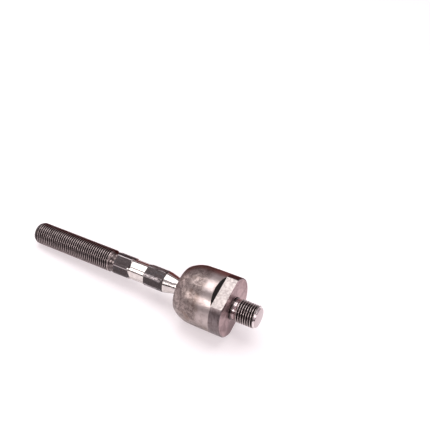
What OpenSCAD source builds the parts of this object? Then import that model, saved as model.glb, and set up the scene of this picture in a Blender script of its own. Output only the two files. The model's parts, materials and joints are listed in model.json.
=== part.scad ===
// Inner tie rod end: a threaded rod whose ball turns in a cup housing with a rack stud.
// X runs along the rod's axis towards the stud's tip. The origin is the centre of the
// housing's seating face, and +Z is up. Lengths are in millimetres.

/* [Ball and seats] */
// Diameter of the ball at the rod's inner end
ball_d = 24; // [20:0.5:30]
// Gap between the ball and the seats, filled by the grease film
film_gap = 0.3; // [0.2:0.05:0.6]
// Clearance between the grease film and the steel or plastic next to it
film_fit = 0.05; // [0.02:0.01:0.08]
// Wall of the two plastic seats around the ball
seat_wall = 1.85; // [1.2:0.05:4]
// Clearance of the seats in the housing's bore
seat_fit = 0.05; // [0.02:0.01:0.1]
// Gap between the two seats at the ball's equator
seat_gap = 0.5; // [0.3:0.05:1]
// How far the front seat's edge stays behind the lip's inner edge
seat_setback = 1.75; // [1:0.05:3]
// Plastic that joins the rear seat's wide part to its hub, along the axis
seat_bridge = 1.6; // [1:0.1:3]
// Plastic between the ball's rear pole and the thrust washer
rear_seat_crown = 1.2; // [0.8:0.1:4]
// Room for the rear seat to float towards the stud
float_room = 0.5; // [0.3:0.05:1]
// Diameter of the grease way through the rear seat
grease_way_d = 6; // [3:0.25:8]
// How far the grease film's edge stays from the fillet of the neck
film_margin = 0.7; // [0.3:0.05:1.5]

/* [Spring stack] */
// Outer diameter of the rear pocket that holds the spring stack
pocket_d = 20; // [17:0.5:24]
// Radial clearance of the stack's rings in the pocket
stack_fit = 0.4; // [0.1:0.05:0.8]
// Radial clearance of the thrust washer and of the shim around the grease way
ring_clear = 0.2; // [0.1:0.05:0.8]
// Thickness of the thrust washer
washer_t = 1; // [0.5:0.1:2]
// Radial clearance of the disc springs in the pocket
disc_fit = 0.8; // [0.4:0.1:1.2]
// Radial clearance of the disc springs around the grease way
disc_clear = 1.2; // [0.6:0.1:2]
// Thickness of each disc spring
disc_t = 0.5; // [0.3:0.05:1]
// Height of each disc spring's cone
disc_cone = 0.35; // [0.2:0.05:0.8]
// Thickness of the adjusting shim
shim_t = 0.3; // [0.1:0.05:0.6]

/* [Housing] */
// Wall of the housing around the bore
shell_wall = 4.1; // [2.5:0.1:7]
// Thickness of the floor between the pocket and the seating face
floor_t = 5; // [3.5:0.25:9]
// Length of the barrel's slight taper towards the ball's equator
barrel_taper = 5.5; // [2:0.5:8]
// How much smaller the swaged dome's radius is than the barrel's
dome_step = 0.15; // [0.05:0.05:0.5]
// Angle from the rod's axis to the inner edge of the mouth, seen from the ball's centre
mouth_angle = 52; // [48:1:56]
// Length of the rolled lip at the mouth
lip_len = 2.65; // [1.5:0.05:3.5]
// Flare at the mouth's outer edge
mouth_flare = 1.2; // [0.5:0.1:1.8]
// Radius of the rounded edge around the seating face
face_round = 0.6; // [0.2:0.1:1.5]
// Depth of each wrench flat below the barrel
flat_depth = 3.3; // [1:0.1:4.5]
// Length of the wrench flats from the seating face
flat_len = 7; // [5:0.1:10]
// Length of the slope from each wrench flat up to the barrel
flat_ramp = 1.8; // [0.5:0.1:3]
// Turn of the wrench flats about the rod's axis
flat_turn = 14.5; // [0:0.5:90]

/* [Rack stud] */
// Major diameter of the stud's thread
stud_d = 14; // [10:0.5:18]
// Length of the stud beyond the seating face
stud_len = 16.7; // [14:0.1:24]
// Length of the full-size register at the stud's root
register_len = 1.2; // [0.6:0.1:2]
// Length of the plain neck between the register and the thread
stud_neck_len = 3; // [1.5:0.1:4.5]
// Radial depth of that neck
stud_neck_depth = 0.55; // [0.3:0.05:1]
// Length of the chamfer at the stud's tip
stud_chamfer_len = 1.8; // [1:0.1:2.5]
// Radial depth of the chamfer at the stud's tip
stud_chamfer_depth = 1.2; // [0.6:0.1:1.6]

/* [Rod] */
// Major diameter of the rod's thread
rod_d = 14; // [12:0.5:18]
// Length of the rod from the ball's centre to its threaded end
rod_len = 120.8; // [90:0.2:160]
// Length of the chamfer at the threaded end
rod_chamfer_len = 2.2; // [1:0.1:3]
// Radial depth of the chamfer at the threaded end
rod_chamfer_depth = 1.2; // [0.6:0.1:1.6]
// Length of the runout groove next to the thread
runout_len = 3; // [2:0.1:5]
// Radial depth of the runout groove and its ramp
runout_depth = 0.7; // [0.4:0.05:1]
// Width across flats of the forged six-sided shank
shank_flats = 13; // [11:0.1:14]
// Diameter over the shank's corners
shank_d = 13.9; // [12:0.1:15]
// Length of the full shank between the runout groove and the ground band
grip_len = 12; // [6:0.2:16]
// Length of the ground reduced band on the shank
band_len = 10.8; // [6:0.2:14]
// Radial depth of the ground band
band_depth = 0.4; // [0.1:0.05:0.8]
// Length of the full shank between the ground band and the taper
collar_len = 12.7; // [8:0.1:16]
// Distance from the ball's centre to the wide end of the taper
taper_start = 24.5; // [22:0.1:28]
// Length of the taper down to the ball's neck
taper_len = 8; // [5:0.1:10]
// Diameter of the ball's neck
neck_d = 10.1; // [8:0.1:12]
// Fillet where the neck meets the ball
neck_fillet = 1.2; // [0.5:0.1:2]
// Turn of the shank's facets about the rod's axis
shank_turn = 45; // [0:1:59]

/* [Hidden] */
$fn = 120;
// Overlap of solids that are cut from or joined to each other
lap = 0.5;
// Facets of the forged shank
shank_sides = 6;

ball_r = ball_d / 2;
seat_r = ball_r + film_gap;
bore_r = seat_r + seat_wall + seat_fit;
barrel_r = bore_r + shell_wall;
dome_r = barrel_r - dome_step;
pocket_r = pocket_d / 2;
hub_r = pocket_r - seat_fit;
ring_r = pocket_r - stack_fit;
way_r = grease_way_d / 2;
ring_bore_r = way_r + ring_clear;
disc_r = pocket_r - disc_fit;
disc_bore_r = way_r + disc_clear;
stud_r = stud_d / 2;
rod_r = rod_d / 2;
neck_r = neck_d / 2;

// Places along X, counted from the seating face towards the ball as negative values
shim_x = -floor_t;
disc_stud_x = shim_x - shim_t;
disc_h = disc_t + disc_cone;
disc_ball_x = disc_stud_x - disc_h;
washer_x = disc_ball_x - disc_h;
rear_seat_x = washer_x - washer_t;
ball_x = rear_seat_x - rear_seat_crown - seat_r;
rear_step_x = ball_x + sqrt(max(0, pow(seat_r, 2) - pow(hub_r, 2))) + seat_bridge;
shoulder_x = rear_step_x + float_room;
mouth_r = bore_r * sin(mouth_angle);
lip_x = ball_x - bore_r * cos(mouth_angle);
mouth_x = lip_x - lip_len;

rod_end_x = ball_x - rod_len;
thread_x = rod_end_x + rod_chamfer_len;
taper_x = ball_x - taper_start;
collar_x = taper_x - collar_len;
band_x = collar_x - band_len;
shank_x = band_x - grip_len;
runout_x = shank_x - runout_len;

// The fillet's centre lies off the neck and off the ball by the fillet's radius
fillet_r = neck_r + neck_fillet;
fillet_x = ball_x - sqrt(pow(ball_r + neck_fillet, 2) - pow(fillet_r, 2));
film_edge_x = ball_x + (fillet_x - ball_x) * ball_r / (ball_r + neck_fillet) + film_margin;

// Turns a profile, radius by X, about the X axis
module turned() {
    rotate([0, 90, 0])
        rotate_extrude()
            children();
}

// A rectangle of a profile, between two radii and two places along X
module band(r_in, r_out, x_low, x_high) {
    translate([r_in, x_low])
        square([r_out - r_in, x_high - x_low]);
}

// Half of a disc of a profile, centred on the ball
module half_disc(r) {
    intersection() {
        translate([0, ball_x])
            circle(r);
        band(0, r + lap, ball_x - r - lap, ball_x + r + lap);
    }
}

// Barrel of the housing, narrowing a little towards the ball's equator
module barrel_outline() {
    polygon([
        [0, 0],
        [barrel_r - face_round, 0],
        [barrel_r, -face_round],
        [barrel_r, ball_x + barrel_taper],
        [dome_r, ball_x],
        [0, ball_x]
    ]);
}

// Round of the edge between the barrel and the seating face
module edge_outline() {
    translate([barrel_r - face_round, -face_round])
        circle(face_round);
}

// Dome swaged over the ball, cut off at the mouth
module dome_outline() {
    intersection() {
        half_disc(dome_r);
        band(0, dome_r, mouth_x, ball_x + lap);
    }
}

// Room inside the cup: bore, swaged dome, spring pocket and flared mouth
module cup_room() {
    band(0, bore_r, ball_x, shoulder_x);
    band(0, pocket_r, shoulder_x - lap, -floor_t);
    intersection() {
        half_disc(bore_r);
        band(0, bore_r, mouth_x, ball_x + lap);
    }
    band(0, mouth_r, mouth_x - lap, ball_x);
    polygon([
        [0, mouth_x - lap],
        [mouth_r + mouth_flare + lap, mouth_x - lap],
        [mouth_r, mouth_x + mouth_flare],
        [0, mouth_x + mouth_flare]
    ]);
}

// The stud: register, neck, thread at its major diameter and chamfered tip
module stud_outline() {
    neck_x = register_len + stud_neck_len;
    tip_x = stud_len - stud_chamfer_len;
    band(0, stud_r, -lap, register_len);
    band(0, stud_r - stud_neck_depth, 0, neck_x + lap);
    band(0, stud_r, neck_x, tip_x);
    polygon([
        [0, tip_x - lap],
        [stud_r, tip_x - lap],
        [stud_r, tip_x],
        [stud_r - stud_chamfer_depth, stud_len],
        [0, stud_len]
    ]);
}

// What is milled off at one wrench flat, with the slope at its inner end
module flat_cut() {
    flat_r = barrel_r - flat_depth;
    rotate([90, 0, 0])
        linear_extrude(height = 2 * (barrel_r + lap), center = true)
            polygon([
                [lap, flat_r],
                [-flat_len, flat_r],
                [-flat_len - flat_ramp * (flat_depth + lap) / flat_depth, barrel_r + lap],
                [lap, barrel_r + lap]
            ]);
}

// Forged cup with its stud and two wrench flats
module socket_housing() {
    color([0.42, 0.38, 0.36])
        difference() {
            union() {
                turned() barrel_outline();
                turned() edge_outline();
                turned() dome_outline();
                turned() stud_outline();
            }
            turned() cup_room();
            rotate([flat_turn, 0, 0])
                for (side = [0, 1])
                    mirror([0, 0, side])
                        flat_cut();
        }
}

// Plastic seat on the mouth side of the ball
module front_seat() {
    color([0.90, 0.88, 0.80])
        turned()
            difference() {
                intersection() {
                    half_disc(bore_r - seat_fit);
                    band(0, bore_r, lip_x + seat_setback, ball_x - seat_gap / 2);
                }
                half_disc(seat_r);
            }
}

// Plastic pressure seat behind the ball, with a hub that guides it in the pocket
module rear_seat() {
    color([0.86, 0.84, 0.76])
        turned()
            difference() {
                union() {
                    band(0, bore_r - seat_fit, ball_x + seat_gap / 2, rear_step_x);
                    band(0, hub_r, rear_step_x - lap, rear_seat_x);
                }
                half_disc(seat_r);
                band(0, way_r, ball_x, rear_seat_x + lap);
            }
}

// Flat steel ring, measured along X from its stud side
module ring(x_high, t) {
    turned()
        band(ring_bore_r, ring_r, x_high - t, x_high);
}

// Hardened washer between the rear seat and the springs
module thrust_washer() {
    color([0.62, 0.63, 0.66])
        ring(washer_x, washer_t);
}

// Conical disc spring, whose rim lies away from x_inner by the cone's height
module disc_spring(x_inner, way) {
    turned()
        polygon([
            [disc_bore_r, x_inner],
            [disc_r, x_inner + way * disc_cone],
            [disc_r, x_inner + way * disc_h],
            [disc_bore_r, x_inner + way * disc_t]
        ]);
}

// Disc spring that bears on the thrust washer
module disc_spring_ball_side() {
    color([0.35, 0.37, 0.42])
        disc_spring(washer_x, 1);
}

// Disc spring that bears on the shim
module disc_spring_stud_side() {
    color([0.35, 0.37, 0.42])
        disc_spring(disc_stud_x, -1);
}

// Adjusting shim on the pocket's floor
module shim() {
    color([0.72, 0.66, 0.45])
        ring(shim_x, shim_t);
}

// Spare grease in the way through the rear seat and the rings
module grease_reserve() {
    color([0.72, 0.55, 0.20])
        turned()
            band(0, way_r - film_fit, ball_x + seat_r, -floor_t);
}

// Thin coat of grease around the ball, from the neck's side to the rear pole
module grease_film() {
    color([0.80, 0.62, 0.25])
        turned()
            difference() {
                intersection() {
                    half_disc(seat_r - film_fit);
                    band(0, seat_r, film_edge_x, ball_x + seat_r);
                }
                half_disc(ball_r + film_fit);
            }
}

// Round core of the rod: neck, taper, shank, runout groove and thread
module rod_outline() {
    groove_r = rod_r - runout_depth;
    polygon([
        [0, rod_end_x],
        [rod_r - rod_chamfer_depth, rod_end_x],
        [rod_r, thread_x],
        [rod_r, runout_x],
        [groove_r, runout_x + runout_depth],
        [groove_r, shank_x],
        [0, shank_x]
    ]);
    polygon([
        [0, taper_x],
        [shank_flats / 2, taper_x],
        [neck_r, taper_x + taper_len],
        [neck_r, ball_x],
        [0, ball_x]
    ]);
}

// Fillet that blends the neck into the ball
module neck_blend() {
    difference() {
        polygon([
            [0, fillet_x],
            [fillet_r, fillet_x],
            [0, ball_x]
        ]);
        translate([fillet_r, fillet_x])
            circle(neck_fillet);
    }
}

// Six-sided length of the shank with rounded corners
module shank(x_low, x_high, depth) {
    across = shank_flats - 2 * depth;
    translate([x_low, 0, 0])
        rotate([0, 90, 0])
            intersection() {
                cylinder(h = x_high - x_low, d = shank_d - 2 * depth);
                rotate([0, 0, shank_turn])
                    cylinder(h = x_high - x_low, d = across / cos(180 / shank_sides), $fn = shank_sides);
            }
}

// Forged rod: ball, neck, taper, six-sided shank with its ground band, and thread
module tie_rod() {
    color([0.30, 0.27, 0.26]) {
        turned() {
            rod_outline();
            neck_blend();
            half_disc(ball_r);
        }
        shank(shank_x - lap, band_x, 0);
        shank(band_x - lap, collar_x + lap, band_depth);
        shank(collar_x, taper_x + lap, 0);
    }
}

socket_housing();
front_seat();
rear_seat();
thrust_washer();
disc_spring_ball_side();
disc_spring_stud_side();
shim();
grease_reserve();
grease_film();
tie_rod();
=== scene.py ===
"""Looks of an inner tie rod end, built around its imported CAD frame.

Lengths in the classes are in millimetres, and become metres where a mesh, a material or a light is made.
X runs along the rod's axis towards the stud's tip. The origin is the centre of the housing's seating face, and
angles about the axis start at +Z and grow towards -Y.
"""

from __future__ import annotations

import json
import logging
import math
from collections.abc import Callable, Sequence
from dataclasses import dataclass, replace
from enum import IntEnum

import bmesh
import bpy
import numpy as np
from mathutils import Matrix, Vector, noise

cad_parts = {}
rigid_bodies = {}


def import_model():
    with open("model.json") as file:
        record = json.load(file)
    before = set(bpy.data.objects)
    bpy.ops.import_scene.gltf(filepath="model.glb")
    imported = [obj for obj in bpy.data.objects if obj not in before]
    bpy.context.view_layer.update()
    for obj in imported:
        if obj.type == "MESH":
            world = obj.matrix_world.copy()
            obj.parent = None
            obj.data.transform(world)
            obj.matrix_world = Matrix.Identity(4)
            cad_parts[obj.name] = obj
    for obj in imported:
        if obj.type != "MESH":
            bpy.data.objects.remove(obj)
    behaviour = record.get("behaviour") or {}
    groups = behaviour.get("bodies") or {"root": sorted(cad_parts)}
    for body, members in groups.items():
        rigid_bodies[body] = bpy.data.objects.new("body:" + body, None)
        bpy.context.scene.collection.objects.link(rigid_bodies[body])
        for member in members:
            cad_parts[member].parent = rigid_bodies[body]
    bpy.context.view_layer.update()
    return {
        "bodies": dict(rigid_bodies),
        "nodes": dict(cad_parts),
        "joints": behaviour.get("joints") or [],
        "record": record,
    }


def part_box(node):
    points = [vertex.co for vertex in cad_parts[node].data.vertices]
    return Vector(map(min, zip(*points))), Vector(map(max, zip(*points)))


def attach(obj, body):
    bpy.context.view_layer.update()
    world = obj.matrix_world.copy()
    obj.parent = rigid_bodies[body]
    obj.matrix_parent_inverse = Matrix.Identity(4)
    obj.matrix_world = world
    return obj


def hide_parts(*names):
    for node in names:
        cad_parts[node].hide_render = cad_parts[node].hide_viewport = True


LOG = logging.getLogger("tie_rod_end")
MM = 0.001
Colour = tuple[float, float, float]
Place = tuple[float, float, float]
Socket = bpy.types.NodeSocket

# Inputs (factor, first, second) and output of Blender's Mix node, for colours and for numbers
COLOUR_INPUTS, COLOUR_OUTPUT = (0, 6, 7), 2
NUMBER_INPUTS, NUMBER_OUTPUT = (0, 2, 3), 0
# Distance in millimetres within which a mesh's points are merged, and below which its edges are dropped
MERGE, SLIVER = 2e-4, 1e-4
# Keeps a comparison away from rounding, and a division away from zero
TINY = 1e-6
# Largest part of each neighbouring stretch that a rounded corner may take up
CORNER_SHARE = 0.45
# Degrees left between an arc and the corner that leads into it
ARC_GAP = 2.0
# Sides of the shank, and the angle that one takes in degrees and in radians
SIDES = 6
SIDE_DEG = 360 / SIDES
SIDE = math.radians(SIDE_DEG)


def report(piece: bpy.types.Object) -> None:
    """Logs a finished piece's name and number of faces."""
    LOG.info("%s: %d faces, %d finishes", piece.name, len(piece.data.polygons), len(piece.data.materials))


def millimetres(corner: Vector) -> Place:
    """Gives a point in millimetres."""
    return tuple(c / MM for c in corner)


def place_in_scene(name: str, data: bpy.types.ID) -> bpy.types.Object:
    """Links new data as an object.

    Args:
        name: Name of the object.
        data: Its mesh, light or camera.

    Returns:
        The object, at the origin.
    """
    made = bpy.data.objects.new(name, data)
    bpy.context.scene.collection.objects.link(made)
    return made


# ---------------------------------------------------------------- node wiring


class Wiring:
    """Builds a node tree in few words. A value is a number or the socket it comes from."""

    def __init__(self, tree: bpy.types.NodeTree) -> None:
        """Keeps the tree that is wired."""
        self.tree = tree

    def node(self, kind: str, **settings: object) -> bpy.types.Node:
        """Adds a node.

        Args:
            kind: Blender's name of the node type.
            settings: Properties of the node, such as its operation.

        Returns:
            The new node.
        """
        made = self.tree.nodes.new(kind)
        for name, value in settings.items():
            setattr(made, name, value)
        return made

    def feed(self, socket: Socket, value: object) -> None:
        """Fills an input.

        Args:
            socket: The input.
            value: A socket to link, a number or colour to set, or None to leave the input as it is.
        """
        if isinstance(value, Socket):
            self.tree.links.new(value, socket)
        elif value is not None:
            socket.default_value = value

    def maths(self, operation: str, *values: object, clamp: bool = False) -> Socket:
        """Calculates with one to three values.

        Args:
            operation: Name of the sum, such as ADD.
            values: Numbers or sockets.
            clamp: Keeps the result from 0 to 1.

        Returns:
            The result's socket.
        """
        made = self.node("ShaderNodeMath", operation=operation, use_clamp=clamp)
        for socket, value in zip(made.inputs, values):
            self.feed(socket, value)
        return made.outputs[0]

    def plus(self, first: object, second: object, clamp: bool = False) -> Socket:
        """Adds two values."""
        return self.maths("ADD", first, second, clamp=clamp)

    def minus(self, first: object, second: object, clamp: bool = False) -> Socket:
        """Takes the second value from the first."""
        return self.maths("SUBTRACT", first, second, clamp=clamp)

    def times(self, first: object, second: object) -> Socket:
        """Multiplies two values."""
        return self.maths("MULTIPLY", first, second)

    def over(self, first: object, second: object) -> Socket:
        """Divides the first value by the second."""
        return self.maths("DIVIDE", first, second)

    def apart(self, first: object, second: object) -> Socket:
        """Gives how far two values are apart."""
        return self.maths("ABSOLUTE", self.minus(first, second))

    def ease(self, value: object, low: float, high: float, first: float = 0.0, last: float = 1.0) -> Socket:
        """Steps smoothly from first to last as the value goes from low to high.

        Args:
            value: The value that is read.
            low: Where the step begins.
            high: Where it ends. It may lie below low, which turns the step round.
            first: Result where the step begins.
            last: Result where it ends.

        Returns:
            The result's socket.
        """
        made = self.node("ShaderNodeMapRange", interpolation_type="SMOOTHSTEP")
        given = {"Value": value, "From Min": low, "From Max": high, "To Min": first, "To Max": last}
        for name, number in given.items():
            self.feed(made.inputs[name], number)
        return made.outputs["Result"]

    def split(self, vector: Socket) -> tuple[Socket, ...]:
        """Takes a vector apart.

        Args:
            vector: The vector.

        Returns:
            Its x, y and z.
        """
        made = self.node("ShaderNodeSeparateXYZ")
        self.feed(made.inputs[0], vector)
        return tuple(made.outputs)

    def join(self, x: object, y: object, z: object) -> Socket:
        """Makes a vector.

        Args:
            x: Its first part.
            y: Its second part.
            z: Its third part.

        Returns:
            The vector.
        """
        made = self.node("ShaderNodeCombineXYZ")
        for socket, value in zip(made.inputs, (x, y, z)):
            self.feed(socket, value)
        return made.outputs[0]

    def radius(self, y: Socket, z: Socket) -> Socket:
        """Gives the distance from the X axis."""
        return self.maths("SQRT", self.plus(self.times(y, y), self.times(z, z)))


class Paint(Wiring):
    """A material's node tree with the patterns that the finishes share.

    The patterns read Object coordinates, in metres.
    """

    def __init__(self, name: str) -> None:
        """Starts an empty material.

        Args:
            name: Its name.
        """
        self.material = bpy.data.materials.new(name)
        self.material.use_nodes = True
        super().__init__(self.material.node_tree)
        self.tree.nodes.clear()
        self.place = self.node("ShaderNodeTexCoord").outputs["Object"]
        self.x, self.y, self.z = self.split(self.place)

    def stretched(self, along: float, around: float) -> Socket:
        """Scales the coordinates, so that a pattern runs along the axis or round it.

        Args:
            along: Scale along the axis.
            around: Scale across it.

        Returns:
            The scaled coordinates.
        """
        made = self.node("ShaderNodeMapping")
        self.feed(made.inputs["Vector"], self.place)
        made.inputs["Scale"].default_value = (along, around, around)
        return made.outputs[0]

    def grain(
        self,
        size: float,
        detail: float = 4.0,
        rough: float = 0.55,
        at: Socket | None = None,
        warp: float = 0.0,
    ) -> Socket:
        """Makes noise.

        Args:
            size: Width of a feature in millimetres.
            detail: Number of finer octaves.
            rough: Strength of the finer octaves.
            at: Coordinates to read, if not the plain ones.
            warp: Distortion of the pattern.

        Returns:
            The noise, from 0 to 1.
        """
        made = self.node("ShaderNodeTexNoise")
        self.feed(made.inputs["Vector"], at or self.place)
        given = {"Scale": 1 / (size * MM), "Detail": detail, "Roughness": rough, "Distortion": warp}
        for name, number in given.items():
            made.inputs[name].default_value = number
        return made.outputs["Fac"]

    def pits(self, size: float) -> Socket:
        """Scatters points.

        Args:
            size: Their distance from each other in millimetres.

        Returns:
            The distance to the nearest one, as a share of size.
        """
        made = self.node("ShaderNodeTexVoronoi")
        self.feed(made.inputs["Vector"], self.place)
        made.inputs["Scale"].default_value = 1 / (size * MM)
        return made.outputs["Distance"]

    def ramp(self, value: object, low: float, high: float, first: float = 0.0, last: float = 1.0) -> Socket:
        """Steps smoothly like ease, with low and high in millimetres."""
        return self.ease(value, low * MM, high * MM, first, last)

    def sway(self, pattern: Socket, reach: float) -> Socket:
        """Turns a pattern into a length that swings about zero, over that many millimetres in all."""
        return self.times(self.minus(pattern, 0.5), reach * MM)

    def both(self, first: Socket, share: float, second: Socket) -> Socket:
        """Adds two patterns, with that share of the first."""
        return self.plus(self.times(first, share), self.times(second, 1 - share))

    def mix(self, share: object, first: object, second: object) -> Socket:
        """Mixes colours.

        Args:
            share: Share of the second colour.
            first: First colour.
            second: Second colour.

        Returns:
            The mixed colour.
        """
        made = self.node("ShaderNodeMix", data_type="RGBA")
        for number, value in zip(COLOUR_INPUTS, (share, first, second)):
            self.feed(made.inputs[number], (*value, 1.0) if isinstance(value, tuple) else value)
        return made.outputs[COLOUR_OUTPUT]

    def blend(self, share: object, first: object, second: object) -> Socket:
        """Mixes numbers.

        Args:
            share: Share of the second number.
            first: First number.
            second: Second number.

        Returns:
            The mixed number.
        """
        made = self.node("ShaderNodeMix", data_type="FLOAT")
        for number, value in zip(NUMBER_INPUTS, (share, first, second)):
            self.feed(made.inputs[number], value)
        return made.outputs[NUMBER_OUTPUT]

    def relief(self, height: object, depth: float, below: Socket | None = None) -> Socket:
        """Raises a surface by a pattern.

        Args:
            height: The pattern.
            depth: Its depth in millimetres.
            below: A relief that this one lies on, if there is one.

        Returns:
            The surface's normal.
        """
        made = self.node("ShaderNodeBump")
        made.inputs["Strength"].default_value = 1.0
        made.inputs["Distance"].default_value = depth * MM
        self.feed(made.inputs["Height"], height)
        self.feed(made.inputs["Normal"], below)
        return made.outputs[0]

    def coat(
        self, colour: object, metal: object, gloss: object, bump: object, **fixed: object
    ) -> bpy.types.Material:
        """Ends the tree in a Principled shader.

        Args:
            colour: Base colour.
            metal: How metallic the surface is.
            gloss: Roughness.
            bump: Normal.
            fixed: Other sockets of the shader, set to a constant.

        Returns:
            The material.
        """
        shader = self.node("ShaderNodeBsdfPrincipled")
        given = {"Base Color": colour, "Metallic": metal, "Roughness": gloss, "Normal": bump}
        for name, value in given.items():
            self.feed(shader.inputs[name], value)
        for name, value in fixed.items():
            shader.inputs[name.replace("_", " ")].default_value = value
        out = self.node("ShaderNodeOutputMaterial")
        self.feed(out.inputs["Surface"], shader.outputs[0])
        return self.material


# ---------------------------------------------------------------- finishes


@dataclass(frozen=True)
class ForgedScale:
    """Forged steel with mottled scale, brown heat tint and soft relief, worn near the flats, where a painted
    highlight makes it lighter towards the top.
    """

    name: str = "forged_scale"
    dark: Colour = (0.12, 0.092, 0.086)
    light: Colour = (0.34, 0.275, 0.26)
    tint: Colour = (0.18, 0.12, 0.095)
    rust: Colour = (0.12, 0.055, 0.03)
    # Colour of the worn steel near the flats, lightened as a painted highlight
    worn: Colour = (0.47, 0.4, 0.39)
    # Where the worn patch comes in along X, and where its painted highlight grows lighter towards the top in Z
    worn_highlight_x: tuple[float, float] = (-17.5, -12.5)
    highlight_z: tuple[float, float] = (-7.0, 3.0)
    patch: float = 2.6
    fleck: float = 0.45

    def make(self) -> bpy.types.Material:
        """Builds the material.

        Returns:
            The material.
        """
        p = Paint(self.name)
        broad = p.grain(self.patch, 5, 0.6, warp=0.6)
        tone = p.ease(p.both(broad, 0.6, p.grain(self.fleck, 3, 0.6)), 0.38, 0.62)
        colour = p.mix(tone, self.dark, self.light)
        colour = p.mix(p.ease(p.grain(9.0, 2, 0.5, warp=1.0), 0.48, 0.7, 0.0, 0.6), colour, self.tint)
        rust = p.ease(p.grain(1.7, 4, 0.7), 0.66, 0.78, 0.0, 0.7)
        colour = p.mix(rust, colour, self.rust)
        # Worn steel and painted highlight: lighter near the flats and towards the top
        worn = p.times(p.ramp(p.x, *self.worn_highlight_x), p.ramp(p.z, *self.highlight_z))
        worn = p.times(worn, p.ease(p.grain(4.0, 4, 0.6), 0.3, 0.56, 0.5, 0.95))
        colour = p.mix(worn, colour, self.worn)
        gloss = p.blend(worn, p.blend(tone, 0.42, 0.3), 0.3)
        bump = p.relief(p.grain(0.9, 4, 0.65), 0.03, p.relief(broad, 0.1))
        return p.coat(colour, p.blend(rust, 0.95, 0.5), gloss, bump)


@dataclass(frozen=True)
class TurnedSkin:
    """Turned steel whose fine tool marks run around the axis."""

    name: str = "turned_skin"
    dark: Colour = (0.13, 0.1, 0.1)
    light: Colour = (0.23, 0.19, 0.195)
    rings: float = 0.28
    gloss: float = 0.3

    def make(self) -> bpy.types.Material:
        """Builds the material.

        Returns:
            The material.
        """
        p = Paint(self.name)
        lines = p.grain(self.rings, 3, 0.6, p.stretched(1.0, 0.03))
        tone = p.ease(p.both(lines, 0.4, p.grain(4.0, 4, 0.6, warp=0.4)), 0.38, 0.62)
        gloss = p.plus(self.gloss, p.times(p.grain(1.2, 3), 0.12))
        bump = p.relief(p.grain(0.5, 3), 0.004, p.relief(lines, 0.006))
        return p.coat(p.mix(tone, self.dark, self.light), 1.0, gloss, bump)


@dataclass(frozen=True)
class FacedSteel:
    """Faced steel: tool marks in circles about the axis, a painted shade on its lower part and a painted
    highlight along its rim.
    """

    name: str = "faced_steel"
    dark: Colour = (0.25, 0.155, 0.165)
    light: Colour = (0.5, 0.355, 0.36)
    # Colour of the painted shade on the face's lower part
    painted_shade: Colour = (0.15, 0.095, 0.1)
    # Colour of the painted highlight along the face's rim
    rim_highlight: Colour = (0.62, 0.56, 0.57)
    # Centre and fading radii of the painted shade
    painted_shade_y: float = -3.0
    painted_shade_z: float = -12.0
    painted_shade_r: tuple[float, float] = (10.0, 2.0)
    # Radii over which the painted rim highlight comes in
    rim_highlight_r: tuple[float, float] = (17.3, 18.0)
    rings: float = 0.3

    def make(self) -> bpy.types.Material:
        """Builds the material.

        Returns:
            The material.
        """
        p = Paint(self.name)
        r = p.radius(p.y, p.z)
        marks = p.grain(self.rings, 2, 0.6, p.join(r, 0.0, 0.0))
        stain = p.grain(6.0, 4, 0.6, warp=0.8)
        colour = p.mix(p.ease(p.both(marks, 0.3, stain), 0.36, 0.64), self.dark, self.light)
        # Painted shade: a dark patch centred low on the face, fading out over its radii
        off = p.radius(p.minus(p.y, self.painted_shade_y * MM), p.minus(p.z, self.painted_shade_z * MM))
        painted_shade = p.times(p.ramp(off, *self.painted_shade_r, 0.0, 0.75), p.ease(stain, 0.2, 0.5, 0.6, 1.0))
        colour = p.mix(painted_shade, colour, self.painted_shade)
        # Painted highlight: a lighter ring at the face's rim
        colour = p.mix(p.ramp(r, *self.rim_highlight_r), colour, self.rim_highlight)
        bump = p.relief(p.grain(0.6, 3), 0.004, p.relief(marks, 0.005))
        return p.coat(colour, 1.0, p.blend(stain, 0.3, 0.46), bump)


@dataclass(frozen=True)
class MilledSteel:
    """Bright milled steel with small dark specks and faint cutter lines."""

    name: str = "milled_steel"
    light: Colour = (0.45, 0.4, 0.385)
    dark: Colour = (0.28, 0.24, 0.235)
    speck: Colour = (0.22, 0.18, 0.17)

    def make(self) -> bpy.types.Material:
        """Builds the material.

        Returns:
            The material.
        """
        p = Paint(self.name)
        cutter = p.grain(0.35, 2, 0.6, p.stretched(0.06, 1.0))
        cloud = p.grain(1.4, 4, 0.65)
        tone = p.ease(p.both(cutter, 0.35, cloud), 0.34, 0.6)
        colour = p.mix(tone, self.dark, self.light)
        colour = p.mix(p.ease(p.grain(0.45, 2, 0.7), 0.66, 0.74, 0.0, 0.65), colour, self.speck)
        bump = p.relief(cloud, 0.01, p.relief(cutter, 0.006))
        return p.coat(colour, 0.85, p.blend(tone, 0.5, 0.36), bump)


@dataclass(frozen=True)
class CutShoulder:
    """The wall that the flat's cutter leaves, kept near black as a painted shadow."""

    name: str = "cut_shoulder"
    # Near-black colours that paint the wall's shadow
    dark: Colour = (0.004, 0.002, 0.002)
    light: Colour = (0.012, 0.008, 0.007)

    def make(self) -> bpy.types.Material:
        """Builds the material.

        Returns:
            The material.
        """
        p = Paint(self.name)
        # Painted shadow, mottled a little
        shadow_mottle = p.grain(0.7, 4, 0.65)
        colour = p.mix(p.ease(shadow_mottle, 0.4, 0.7), self.dark, self.light)
        return p.coat(colour, 0.3, p.blend(shadow_mottle, 0.75, 0.55), p.relief(shadow_mottle, 0.02))


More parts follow.
